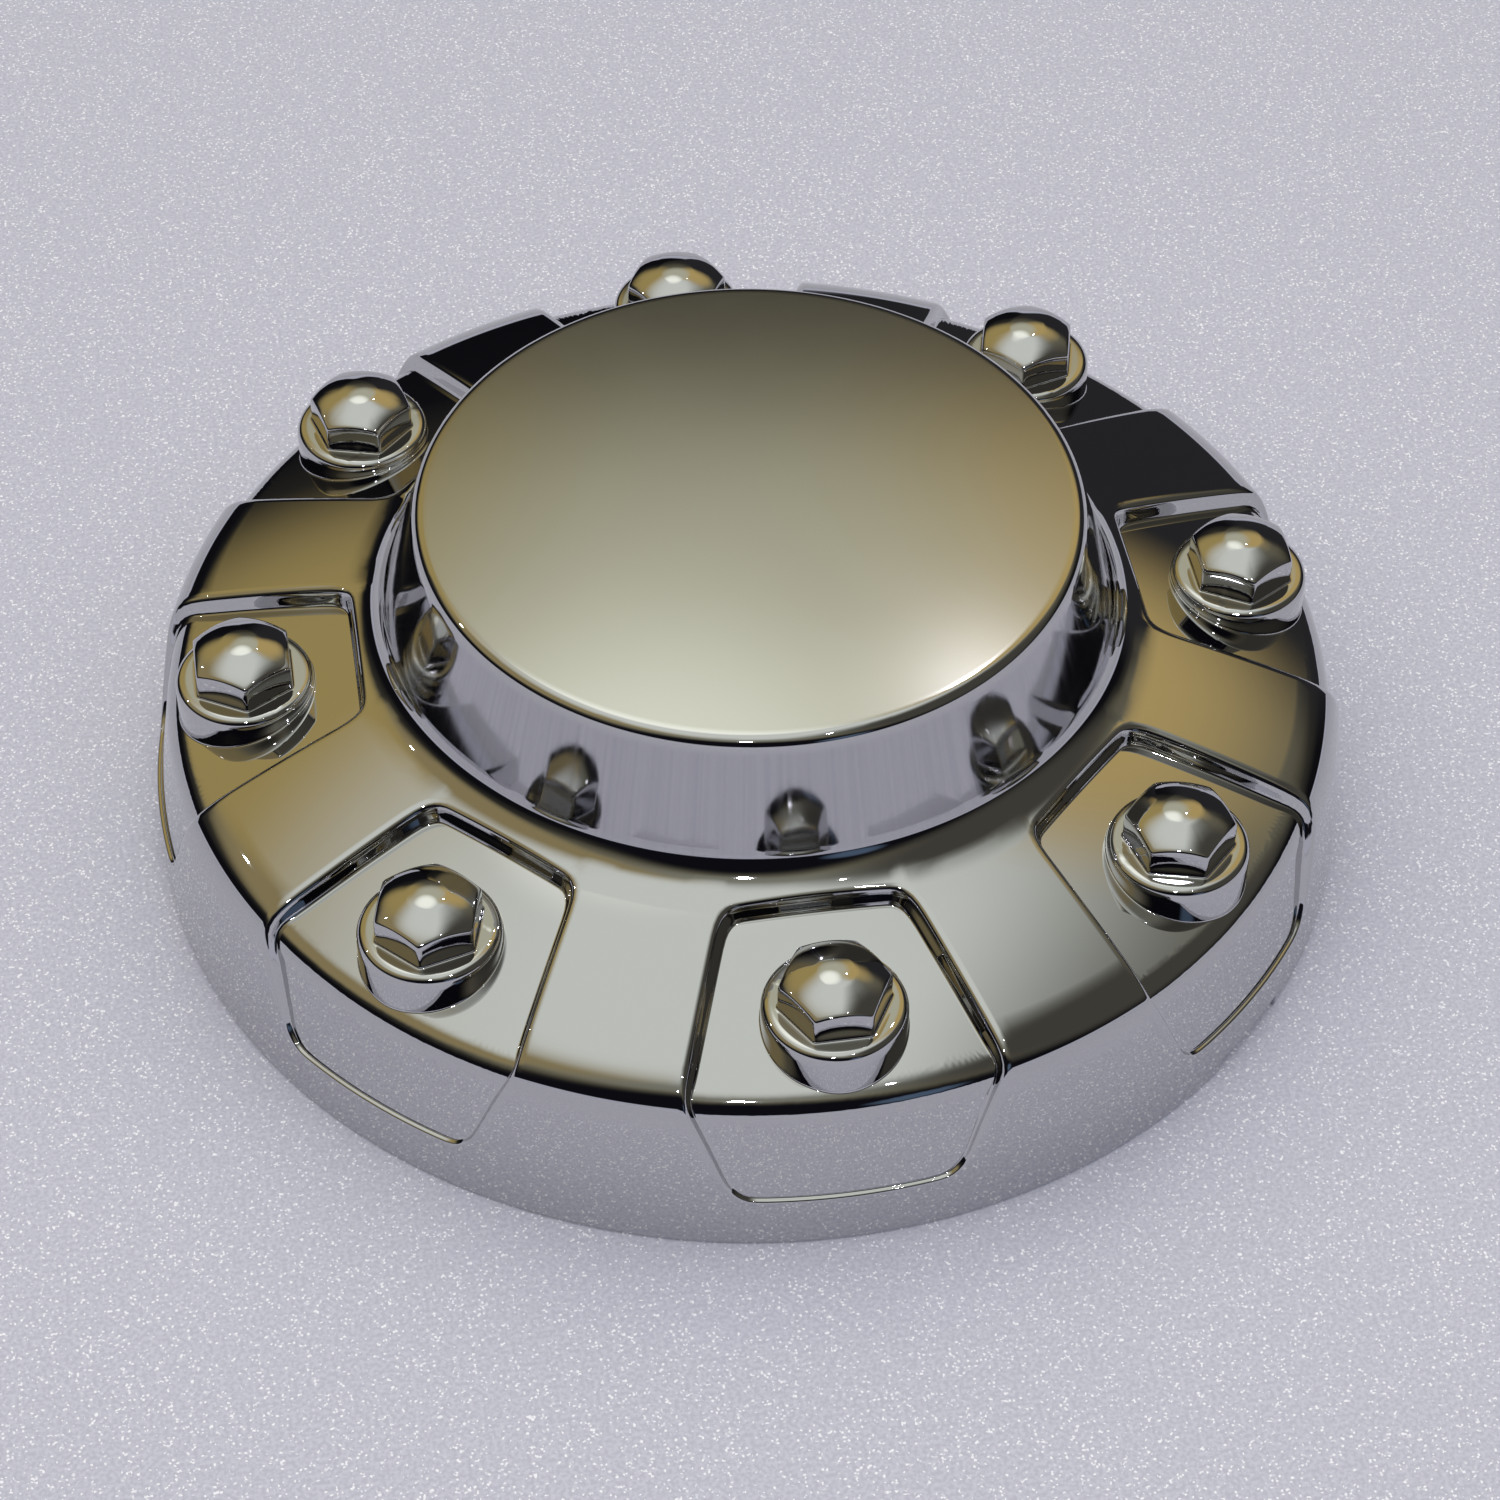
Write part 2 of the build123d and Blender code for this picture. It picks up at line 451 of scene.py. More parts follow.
# %% [markdown]
# ## Growing one sector
#
# One eighth of the cap starts as a grid that is laid on the half section. The faces of
# the pocket are taken out, and the open edge is extruded inwards, ring after ring: over
# the pocket's lip, down its wall, across its floor, up the boss, over its edge, up the
# hexagon and over its domed top. Spin copies the sector round the axis, and
# subdivision then turns the rings into smooth roundings. Every vertex carries a number,
# its seat, which says where on the grid or on the ring it belongs.

# %% Columns of the grid
POCKET_COLUMNS = 2 * FOOT_CELLS
RIB_COLUMNS = 3
COLUMNS = POCKET_COLUMNS + 2 * RIB_COLUMNS


def spread(start, end, cells, last=False):
    """Evenly spread distances from start to end, with the last one if asked."""
    return list(np.linspace(start, end, cells + 1)[: cells + 1 if last else cells])


def column_angle(column, pocket_angle):
    """Angle of a grid column where the pocket's side stands at an angle."""
    side = abs(column - COLUMNS // 2)
    if side <= FOOT_CELLS:
        angle = pocket_angle * COLUMN_SHARES[side]
    else:
        angle = pocket_angle + (SECTOR_HALF - pocket_angle) * (side - FOOT_CELLS) / RIB_COLUMNS
    return math.copysign(angle, column - COLUMNS // 2)


def side_angle(along):
    """Angle of the pocket's side at a distance, eased to even columns on the drum."""
    even = SECTOR_HALF * FOOT_CELLS / (FOOT_CELLS + RIB_COLUMNS)
    if along < FOOT_START:
        return even
    held = min(max(along, corner_distance), foot_distance)
    angle = math.asin(pocket_half(held) / skin.at(held)[0])
    if along < corner_distance:
        share = (along - FOOT_START) / (corner_distance - FOOT_START)
        return even + share * (angle - even)
    return angle


print("columns of the grid:", COLUMNS)


# %% The grid, laid on the skin
ROW_SEAT = 1000
PLAIN = -1
IN_POCKET = -2


def start_grid(name, rows):
    """Adds a grid primitive with one vertex for each row and column, in edit mode."""
    bpy.ops.object.select_all(action="DESELECT")
    bpy.ops.mesh.primitive_grid_add(x_subdivisions=COLUMNS, y_subdivisions=len(rows) - 1, size=2)
    piece = bpy.context.object
    piece.name = piece.data.name = name
    bpy.ops.object.mode_set(mode="EDIT")
    mesh = bmesh.from_edit_mesh(piece.data)
    mesh.verts.layers.float.new("floor")
    seat = mesh.verts.layers.int.new("seat")
    for vertex in mesh.verts:
        column = round((vertex.co.x + 1) / 2 * COLUMNS)
        row = round((1 - vertex.co.y) / 2 * (len(rows) - 1))
        vertex[seat] = ROW_SEAT * row + column
    return piece, mesh, seat


def pocket_seat(row, column, first_row):
    """Number of a grid vertex on the pocket's outline, or None off it."""
    side = column - COLUMNS // 2
    down = row - first_row
    if abs(side) > FOOT_CELLS or not 0 <= down <= SIDE_CELLS:
        return None
    if down == SIDE_CELLS:
        return side % RING
    if abs(side) == FOOT_CELLS:
        place = FOOT_CELLS + SIDE_CELLS - down
        return place if side > 0 else RING - place
    if down == 0:
        return FOOT_CELLS + SIDE_CELLS + FOOT_CELLS - side
    return None


def lay_grid(mesh, seat, rows, first_row, depth, hole):
    """Lays the grid on the skin, round a hole from which the pocket will grow."""
    for vertex in mesh.verts:
        row, column = divmod(vertex[seat], ROW_SEAT)
        ring = pocket_seat(row, column, first_row)
        if ring is None:
            along = rows[row]
            angle = column_angle(column, side_angle(along))
            radius, height = skin.inside(along, depth)
            vertex.co = round_axis(radius, angle, height)
            inside = first_row < row < first_row + SIDE_CELLS
            inside = inside and abs(column - COLUMNS // 2) < FOOT_CELLS
            vertex[seat] = IN_POCKET if inside else PLAIN
        else:
            vertex.co = skin_place(*hole[ring], depth)
            vertex[seat] = ring
    for face in mesh.faces:
        face.select_set(False)
    for vertex in mesh.verts:
        vertex.select = vertex[seat] == IN_POCKET
    mesh.select_mode = {"VERT"}
    mesh.select_flush_mode()
    bpy.ops.mesh.delete(type="VERT")


# %% Rings that grow into the pocket
def select_open_edges(mesh, test):
    """Selects the open edges whose vertices pass a test, and nothing else."""
    bpy.ops.mesh.select_mode(type="EDGE")
    for face in mesh.faces:
        face.select_set(False)
    for edge in mesh.edges:
        edge.select_set(edge.is_boundary and all(test(vertex) for vertex in edge.verts))


def grow_ring(piece, places, on_floor=False):
    """Extrudes the open ring, lays the new vertices and notes if they are on the floor."""
    mesh = bmesh.from_edit_mesh(piece.data)
    seat = mesh.verts.layers.int["seat"]
    select_open_edges(mesh, lambda vertex: vertex[seat] >= 0)
    bmesh.update_edit_mesh(piece.data)
    bpy.ops.mesh.extrude_edges_move()
    mesh = bmesh.from_edit_mesh(piece.data)
    seat = mesh.verts.layers.int["seat"]
    floor_share = mesh.verts.layers.float["floor"]
    for vertex in mesh.verts:
        if vertex.select:
            vertex.co = places[vertex[seat]]
            vertex[floor_share] = float(on_floor)
    for vertex in mesh.verts:
        if not vertex.select and vertex[seat] >= 0:
            vertex[seat] = PLAIN
    bmesh.update_edit_mesh(piece.data)


# %% Copies round the axis, and the last openings
MERGE_WITHIN = 0.02 * MM


def repeat_round_axis():
    """Copies the sector to all the others, as spin does by hand, and joins the seams."""
    bpy.ops.mesh.select_mode(type="VERT")
    bpy.ops.mesh.select_all(action="SELECT")
    bpy.ops.mesh.spin(
        steps=SECTORS - 1,
        dupli=True,
        angle=2 * math.pi * (SECTORS - 1) / SECTORS,
        center=(0, 0, 0),
        axis=(0, 0, 1),
    )
    bpy.ops.mesh.select_all(action="SELECT")
    bpy.ops.mesh.remove_doubles(threshold=MERGE_WITHIN)


def close_with_grid(piece, test, cells, height):
    """Closes an open loop with a grid of quads and lays the grid at its height."""
    mesh = bmesh.from_edit_mesh(piece.data)
    select_open_edges(mesh, lambda vertex: test(vertex.co))
    bmesh.update_edit_mesh(piece.data)
    bpy.ops.mesh.fill_grid(span=cells)
    mesh = bmesh.from_edit_mesh(piece.data)
    for vertex in mesh.verts:
        if vertex.select and test(vertex.co):
            vertex.co.z = height(vertex.co)
    bmesh.update_edit_mesh(piece.data)


# %% [markdown]
# ## The rows of the outside
#
# The first step of the sector is to choose where the rows of its grid lie. They are
# close together where the section turns, at the rim of the drum and in the fillet at its
# foot, and far apart on the calm wall and the dome. Close rows hold a rounding to its
# place when the cage is subdivided.

# %% Rows of the outside
FIRST_LOOP = 48.0
CROWN_LOOPS = (FIRST_LOOP, 57.0, 64.0)
BEFORE_RIM = 2.4
RIM_ROWS = 3
AFTER_RIM = (2.0, 8.0)
BEFORE_FOOT = (8.0, 2.5)
FOOT_ROWS = 4
BELOW_POCKET = (4.0, 8.5)
ABOVE_BASE = 1.2

outer_rows = [skin.where_radius(radius) for radius in CROWN_LOOPS] + [RIM_START - BEFORE_RIM]
outer_rows += spread(RIM_START, RIM_END, RIM_ROWS, last=True)
outer_rows += [RIM_END + gap for gap in AFTER_RIM]
outer_rows += [FOOT_START - gap for gap in BEFORE_FOOT]
outer_rows += spread(FOOT_START, FOOT_END, FOOT_ROWS)
OUTER_FIRST = len(outer_rows)
outer_rows += side_rows + [foot_distance + gap for gap in BELOW_POCKET]
outer_rows += [BASE - ABOVE_BASE, BASE]
print("outer rows:", len(outer_rows))


# %% Places of the rings
def ring_places(points, depth_share, depth=0.0):
    """Places of a ring that lies between the skin and the pocket's floor."""
    places = []
    for across, along in points:
        high, low = skin_place(across, along, depth), floor_place(across, along, depth)
        places.append(high.lerp(low, depth_share))
    return places


def floor_heights(depth=0.0):
    """Height of the floor, in millimetres, under each place of the boss's foot."""
    return [floor_place(*point, depth).z / MM for point in boss_foot]


def round_ring(radius, heights):
    """Places of a ring round the boss, with a height for each."""
    return [circle_place(k, radius, heights[k]) for k in range(RING)]


def level(height):
    """The same height for every place of a ring."""
    return [height] * RING


def head_ring(corner, roundness, height=None, drop=0.0):
    """Places of a ring of the head, dropped under the dome if that is asked."""
    places = [head_place(k, corner, roundness, height) for k in range(RING)]
    return [place - Vector((0, 0, drop * MM)) for place in places]


# %% [markdown]
# ## Across the floor, in crowded rings
#
# Between the pocket's wall and the boss six rings cross the floor. Spread evenly they
# would miss the bend of the floor, and its mirror image would come out in steps. So
# three of them lie at the end, the middle and the start of the bend, within limits that
# keep the faces from getting thin. Where there is no bend the even spread takes over.

# %% Shares of the floor's rings
EVEN_SHARES = (0.15, 0.32, 0.49, 0.66, 0.83, 1.0)
BEND_END_LIMITS = (0.22, 0.56)
BEND_MIDDLE_MOST = 0.74
BEND_START_MOST = 0.88
MIDDLE_GAP = 0.1
START_GAP = 0.08
CROWDED_FROM = 8.0


def floor_shares(first, last):
    """Shares of six rings across the floor, crowded where the floor turns down."""
    bend = np.interp(pocket_floor.ends[1::-1], floor_marks, guide_marks) + GUIDE_SHIFT
    bend_end, bend_start = bend
    length = first - last
    end = np.clip((first - bend_end) / length, *BEND_END_LIMITS)
    middle = (first - (bend_start + bend_end) / 2) / length
    middle = np.clip(middle, end + MIDDLE_GAP, BEND_MIDDLE_MOST)
    start = np.clip((first - bend_start) / length, middle + START_GAP, BEND_START_MOST)
    crowded = (end / 2, end, middle, start, (start + 1) / 2, 1.0)
    weight = np.clip((first - bend_end) / CROWDED_FROM, 0.0, 1.0)
    return [even + weight * (own - even) for even, own in zip(EVEN_SHARES, crowded)]


# %% [markdown]
# ## The outside, from the lip to the dome of the head
#
# On the real cap the pocket's walls have a little draft, because a moulding has to come
# out of its mould, and their lips are rounded. Both grow with the depth of the wall.
# The rings are listed from the lip inwards, with a close pair where an edge has to stay
# crisp, and each one is grown from the ring before it.

# %% Outside of one sector
# A least amount, and what is added for each millimetre of the wall's depth
LIP = (0.12, 0.07)
DRAFT = (0.20, 0.34)
# How far outside the pocket's outline the grid ends, and the close ring at a foot
GRID_GAP = 0.8
FOOT_CREASE = 0.45
# The first of the wide rings on the floor, and the last one, round the boss
FLOOR_BORDER = 3.0
APRON = 3.2
# Distances of rings from an edge, which set how round it gets
BOSS_FOOT_RISE = 0.6
BOSS_EDGE = 2.8
HEAD_FOOT = 0.35
HEAD_CREASE = 0.03
HEAD_CREASE_RISE = 0.1
HEAD_RISE = 0.9
HEAD_EDGE_DROP = 0.7
# Corner and roundness of the rings on the domed top
HEAD_TOP_RINGS = ((HEX_CORNER - 0.9, 0.1), (0.72 * HEX_CORNER, 0.6), (0.38 * HEX_CORNER, 1.0))
FLOOR_RINGS = range(3, 12)

depths = np.array([(skin_place(*point) - floor_place(*point)).length / MM for point in outline])
lip = LIP[0] + LIP[1] * depths
wall_foot = DRAFT[0] + DRAFT[1] * depths
print("pocket wall, least and most depth in mm:", depths.min().round(2), depths.max().round(2))

piece, mesh, seat = start_grid("chromed_cap", outer_rows)
lay_grid(mesh, seat, outer_rows, OUTER_FIRST, 0.0, move_in(outline, -GRID_GAP))

floor_border = move_in(outline, FLOOR_BORDER)
boss_apron = move_in(boss_foot, -APRON)
foot_heights = floor_heights()
outer_rings = [
    ring_places(move_in(outline, lip), 0.0),
    ring_places(move_in(outline, (lip + wall_foot) / 2), 0.5),
    ring_places(move_in(outline, wall_foot), 1.0),
    ring_places(move_in(outline, wall_foot + FOOT_CREASE), 1.0),
    ring_places(floor_border, 1.0),
]
for shares in floor_shares(floor_border[:, 1], boss_apron[:, 1]):
    outer_rings.append(ring_places(floor_border + shares[:, None] * (boss_apron - floor_border), 1.0))
outer_rings.append(ring_places(move_in(boss_foot, -FOOT_CREASE), 1.0))
outer_rings += [
    round_ring(BOSS_RADIUS, foot_heights),
    round_ring(BOSS_RADIUS, [height + BOSS_FOOT_RISE for height in foot_heights]),
    round_ring(BOSS_RADIUS, level(BOSS_TOP - BOSS_EDGE)),
    round_ring(BOSS_RADIUS, level(BOSS_TOP)),
    round_ring(BOSS_RADIUS - BOSS_EDGE, level(BOSS_TOP)),
    head_ring(HEX_CORNER + HEAD_FOOT, 0.0, BOSS_TOP),
    head_ring(HEX_CORNER + HEAD_CREASE, 0.0, BOSS_TOP + HEAD_CREASE_RISE),
    head_ring(HEX_CORNER, 0.0, BOSS_TOP + HEAD_RISE),
    head_ring(HEX_CORNER, 0.0, None, HEAD_EDGE_DROP),
    head_ring(HEX_CORNER, 0.0),
]
outer_rings += [head_ring(corner, roundness) for corner, roundness in HEAD_TOP_RINGS]
for number, places in enumerate(outer_rings):
    grow_ring(piece, places, number in FLOOR_RINGS)
print("rings on the outside:", len(outer_rings))

# %% Closing the outside
NEAR_HEAD = 0.5 * HEX_CORNER
NEAR_CROWN = FIRST_LOOP + 1.0


def dome_height(place, depth=0.0):
    """Height of the dome, or of its underside, over a plan place, in metres."""
    reach = DOME_ROUND - depth
    across = math.hypot(place.x, place.y) / MM
    return MM * (TOP - DOME_ROUND + math.sqrt(reach**2 - across**2))


def head_height(place):
    """Height of the head's domed top over a plan place, in metres."""
    across = math.hypot(place.x / MM - NUT_CIRCLE, place.y / MM)
    return MM * (BOSS_TOP + HEX_HEIGHT - HEX_DOME + math.sqrt(HEX_DOME**2 - across**2))


def near_head(place):
    """Whether a place is in the opening at the middle of the head."""
    return math.hypot(place.x / MM - NUT_CIRCLE, place.y / MM) < NEAR_HEAD


def near_crown(place):
    """Whether a place is in the opening at the middle of the dome."""
    return math.hypot(place.x, place.y) < NEAR_CROWN * MM


close_with_grid(piece, near_head, RING // 4, head_height)
repeat_round_axis()
close_with_grid(piece, near_crown, COLUMNS * SECTORS // 4, dome_height)
bpy.ops.object.mode_set(mode="OBJECT")
outer = piece
print("outside cage faces:", len(outer.data.polygons))

# %% [markdown]
# ## The inside of one sector
#
# The underside follows the outside at the wall's thickness, with a hollow in each boss
# and head that fits over a wheel nut. The Solidify modifier could make it, but it folds
# over itself in the tight corners of the pockets. The same tools build it again, with
# fewer rows and rings, because it is only seen when the cap is turned over.

# %% Rows of the inside
HOLLOW_RADIUS = BOSS_RADIUS - WALL
HOLLOW_TOP = BOSS_TOP - WALL
HEX_HOLLOW = HEX_CORNER - WALL / math.cos(math.radians(30))
HEX_HOLLOW_TOP = BOSS_TOP + HEX_HEIGHT - HEAD_WALL
UNDER_CROWN_LOOPS = (FIRST_LOOP, 63.0)
UNDER_RIM = 5.0
UNDER_FOOT = (-4.0, 3.0)
UNDER_BASE = 5.0

inner_rows = [skin.where_radius(radius) for radius in UNDER_CROWN_LOOPS]
inner_rows += [(RIM_START + RIM_END) / 2, RIM_END + UNDER_RIM]
inner_rows += [FOOT_START + gap for gap in UNDER_FOOT] + [(FOOT_START + FOOT_END) / 2]
INNER_FIRST = len(inner_rows)
inner_rows += side_rows + [BASE - UNDER_BASE, BASE]
print("inner rows:", len(inner_rows))

# %% Inside of one sector
UNDER_LIP = 0.7
UNDER_WALL_FOOT = 1.4
UNDER_BORDER = 0.6
HOLLOW_FOOT_RISE = 1.2
HOLLOW_SUPPORT = 1.0

piece, mesh, seat = start_grid("chromed_cap_inside", inner_rows)
lay_grid(mesh, seat, inner_rows, INNER_FIRST, WALL, move_in(outline, -WALL - GRID_GAP))
under_heights = floor_heights(WALL)
inner_border = move_in(outline, UNDER_BORDER)
inner_rings = [
    ring_places(move_in(outline, UNDER_LIP - WALL), 0.0, WALL),
    ring_places(move_in(outline, UNDER_WALL_FOOT - WALL), 1.0, WALL),
    ring_places(inner_border, 1.0, WALL),
    ring_places(inner_border + 0.5 * (boss_foot - inner_border), 1.0, WALL),
    ring_places(boss_foot, 1.0, WALL),
    round_ring(HOLLOW_RADIUS, under_heights),
    round_ring(HOLLOW_RADIUS, [height + HOLLOW_FOOT_RISE for height in under_heights]),
    round_ring(HOLLOW_RADIUS, level(HOLLOW_TOP - HOLLOW_SUPPORT)),
    round_ring(HOLLOW_RADIUS, level(HOLLOW_TOP)),
    head_ring(HEX_HOLLOW, 0.0, HOLLOW_TOP),
    head_ring(HEX_HOLLOW, 0.0, HOLLOW_TOP + HOLLOW_SUPPORT),
    head_ring(HEX_HOLLOW, 0.0, HEX_HOLLOW_TOP - HOLLOW_SUPPORT),
    head_ring(HEX_HOLLOW, 0.0, HEX_HOLLOW_TOP),
    head_ring(0.5 * HEX_HOLLOW, 1.0, HEX_HOLLOW_TOP),
]
for places in inner_rings:
    grow_ring(piece, places)
print("rings on the inside:", len(inner_rings))

close_with_grid(piece, near_head, RING // 4, lambda place: HEX_HOLLOW_TOP * MM)
repeat_round_axis()
close_with_grid(piece, near_crown, COLUMNS * SECTORS // 4, lambda p: dome_height(p, WALL))
bpy.ops.mesh.select_all(action="SELECT")
bpy.ops.mesh.flip_normals()
bpy.ops.object.mode_set(mode="OBJECT")
inner = piece
print("inside cage faces:", len(inner.data.polygons))

# %% [markdown]
# ## One closed shell
#
# The outside and the inside meet at the open rim, the edge on which the cap stands.
# Bridge fills the gap between their two loops with quads. One level of subdivision then
# makes the smooth form, and places that it leaves below the floor are set back to zero.

# %% Join the skins at the open rim
bpy.ops.object.select_all(action="DESELECT")
inner.select_set(True)
outer.select_set(True)
bpy.context.view_layer.objects.active = outer
bpy.ops.object.join()
cap = outer
bpy.ops.object.mode_set(mode="EDIT")
mesh = bmesh.from_edit_mesh(cap.data)
select_open_edges(mesh, lambda vertex: True)
print("open edges before the bridge:", sum(edge.select for edge in mesh.edges))
bmesh.update_edit_mesh(cap.data)
bpy.ops.mesh.bridge_edge_loops(number_cuts=2)
bpy.ops.mesh.select_all(action="SELECT")
bpy.ops.mesh.normals_make_consistent(inside=False)
bpy.ops.object.mode_set(mode="OBJECT")

# %% Smooth the shell
smoothing = cap.modifiers.new("smoothing", "SUBSURF")
smoothing.levels = smoothing.render_levels = 1
bpy.ops.object.modifier_apply(modifier="smoothing")
for vertex in cap.data.vertices:
    vertex.co.z = max(vertex.co.z, 0.0)
print("lowest point in metres:", min(vertex.co.z for vertex in cap.data.vertices))

# %% [markdown]
# ## Truing the mirror
#
# Subdivision leaves a surface a few hundredths of a millimetre beside the half section.
# That is far too little to see as a shape, but a mirror shows it as waves. So vertices
# that lie next to the section are laid exactly on it. The limit is wider on the floors,
# whose vertices carry a mark. Those that have only such neighbours also get the
# section's own normal, further below.

# %% True up the skin and the floors
TRUE_WITHIN = 0.15
FLOOR_WITHIN = 0.9
AXIS_REACH = 1.0
WHOLLY_FLOOR = 0.99
CREASE_TURN = 0.5
KEY_DIGITS = 6


def true_up(vertices, path, within):
    """Lays vertices that are close enough to a path on it; returns their normals."""
    normals = {}
    along = np.gradient(path.points, axis=0)
    along /= np.hypot(*along.T)[:, None]
    across = np.stack((-along[:, 1], along[:, 0]), 1)
    outward = across if across[0][1] > 0 else -across
    for vertex in vertices:
        radius = math.hypot(vertex.co.x, vertex.co.y)
        if radius < AXIS_REACH * MM:
            continue
        spot = np.array((radius, vertex.co.z)) / MM
        nearest = np.hypot(*(path.points - spot).T).argmin()
        off = (spot - path.points[nearest]) @ outward[nearest]
        gap = np.hypot(*(path.points[nearest] - spot))
        if gap < within[vertex.index] + STEP and abs(off) < within[vertex.index]:
            place = (spot - off * outward[nearest]) * MM
            flat = Vector((vertex.co.x, vertex.co.y, 0)) / radius
            vertex.co = flat * place[0] + Vector((0, 0, max(place[1], 0.0)))
            normals[vertex.index] = flat * outward[nearest][0] + Vector((0, 0, outward[nearest][1]))
    return normals


def spot_of(place):
    """A place as a rounded key, which finds the same vertex again after a Boolean."""
    return tuple(round(measure, KEY_DIGITS) for measure in place)


on_floor = [share.value > WHOLLY_FLOOR for share in cap.data.attributes["floor"].data]
floor_limits = [FLOOR_WITHIN if share else TRUE_WITHIN for share in on_floor]
skin_limits = [0.0 if share else TRUE_WITHIN for share in on_floor]
true_normals = true_up(cap.data.vertices, pocket_floor, floor_limits)
true_normals.update(true_up(cap.data.vertices, skin, skin_limits))
loose = set()
for edge in cap.data.edges:
    first, second = edge.vertices
    apart = first not in true_normals or second not in true_normals
    if apart or true_normals[first].angle(true_normals[second]) > CREASE_TURN:
        loose.update((first, second))
kept_normals = {k: normal for k, normal in true_normals.items() if k not in loose}
true_places = {spot_of(cap.data.vertices[k].co): normal for k, normal in kept_normals.items()}
print("vertices on the section:", len(true_normals), "with its normal:", len(true_places))

# %% [markdown]
# ## Two notches in the open rim
#
# The skirt has a shallow square notch under two of the pockets. Smoothing would round
# their corners, so they are cut from the finished surface with a Boolean, and the
# normals are then smoothed up to an angle that keeps the sharp edges of the cuts.

# %% Notches in the open rim
NOTCH_CUT = 30.0

for degrees in NOTCH_ANGLES:
    bpy.ops.object.select_all(action="DESELECT")
    turn = math.radians(degrees)
    place = (BASE_RADIUS * MM * math.cos(turn), BASE_RADIUS * MM * math.sin(turn), 0)
    bpy.ops.mesh.primitive_cube_add(size=1, location=place, rotation=(0, 0, turn))
    cutter = bpy.context.object
    cutter.scale = (NOTCH_CUT * MM, NOTCH_WIDTH * MM, 2 * NOTCH_HEIGHT * MM)
    bpy.context.view_layer.objects.active = cap
    cut = cap.modifiers.new("notch", "BOOLEAN")
    cut.object = cutter
    cut.solver = "EXACT"
    bpy.ops.object.modifier_apply(modifier="notch")
    bpy.data.objects.remove(cutter)
print("notches:", len(NOTCH_ANGLES))

# %% Normals of the cap
SHARP_ANGLE = math.radians(50)

bpy.ops.object.select_all(action="DESELECT")
cap.select_set(True)
bpy.ops.object.shade_smooth_by_angle(angle=SHARP_ANGLE)
cap.data.calc_loop_triangles()
print("triangles of the cap:", len(cap.data.loop_triangles))

# Vertices keep the section's normal; a zero leaves the normal to the faces
NO_NORMAL = Vector((0, 0, 0))
normals = [true_places.get(spot_of(vertex.co), NO_NORMAL) for vertex in cap.data.vertices]
cap.data.normals_split_custom_set_from_vertices(normals)
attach(cap, "root")
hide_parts("hubcap")

# %% [markdown]
# ## Tools for materials
#
# Materials are networks of nodes. These small helpers add a node, fill its inputs with
# values or links and give back the output, so that each finish reads like a recipe.

# %% Node helpers
def add_node(tree, kind, inputs=None, **settings):
    """Adds a node, sets its options and gives each input a value or a link."""
    made = tree.nodes.new(kind)
    for name, value in settings.items():
        setattr(made, name, value)
    for name, value in (inputs or {}).items():
        if isinstance(value, bpy.types.NodeSocket):
            tree.links.new(value, made.inputs[name])
        else:
            made.inputs[name].default_value = value
    return made


def calculate(tree, operation, *values):
    """A Math node on up to three values or links."""
    inputs = dict(enumerate(values))
    return add_node(tree, "ShaderNodeMath", inputs, operation=operation).outputs[0]


def calculate_vector(tree, operation, *values):
    """Outputs of a Vector Math node; the result is in Vector or in Value."""
    inputs = dict(enumerate(values))
    return add_node(tree, "ShaderNodeVectorMath", inputs, operation=operation).outputs


def noise(tree, place, scale, detail=2.0):
    """The grey value of a noise at a place."""
    inputs = {"Vector": place, "Scale": scale, "Detail": detail}
    return add_node(tree, "ShaderNodeTexNoise", inputs).outputs["Fac"]


def ease(tree, value, start, end):
    """A mask that rises smoothly from 0 to 1 while a value goes from start to end."""
    inputs = {"Value": value, "From Min": start, "From Max": end}
    kind = "ShaderNodeMapRange"
    return add_node(tree, kind, inputs, interpolation_type="SMOOTHSTEP").outputs["Result"]


def blend(tree, share, first, second):
    """A colour between two others."""
    made = add_node(tree, "ShaderNodeMix", data_type="RGBA")
    sockets = (made.inputs[0], made.inputs[6], made.inputs[7])
    for socket, value in zip(sockets, (share, first, second)):
        if isinstance(value, bpy.types.NodeSocket):
            tree.links.new(value, socket)
        else:
            socket.default_value = value
    return made.outputs[2]


# %% [markdown]
# ## Chrome plating
#
# Plating on a moulding has no grain of its own: it is a mirror that gives back a little
# over half of the light. Only the domed crown is satin, and the drum's wall keeps faint
# upright streaks from the polishing of the mould. All three could be materials of their
# own on chosen faces, but the satin fades out softly at the rim. So they are one
# material, in which masks on Object coordinates say where each finish lies.

# %% Masks of the chrome
SATIN_EDGE = (69.6 * MM, 71.4 * MM)
SATIN_LOWEST = 80 * MM
STREAKED_WALL = (58 * MM, 84 * MM)
WALL_FADES = (3 * MM, 2 * MM)

chrome = bpy.data.materials.new("chrome_plating")
chrome.use_nodes = True
tree = chrome.node_tree
surface = tree.nodes["Principled BSDF"]
place = add_node(tree, "ShaderNodeTexCoord").outputs["Object"]
parts = add_node(tree, "ShaderNodeSeparateXYZ", {"Vector": place}).outputs
plan = add_node(tree, "ShaderNodeCombineXYZ", {"X": parts["X"], "Y": parts["Y"]}).outputs[0]
reach = calculate_vector(tree, "LENGTH", plan)["Value"]
outward = calculate_vector(tree, "NORMALIZE", plan)["Vector"]

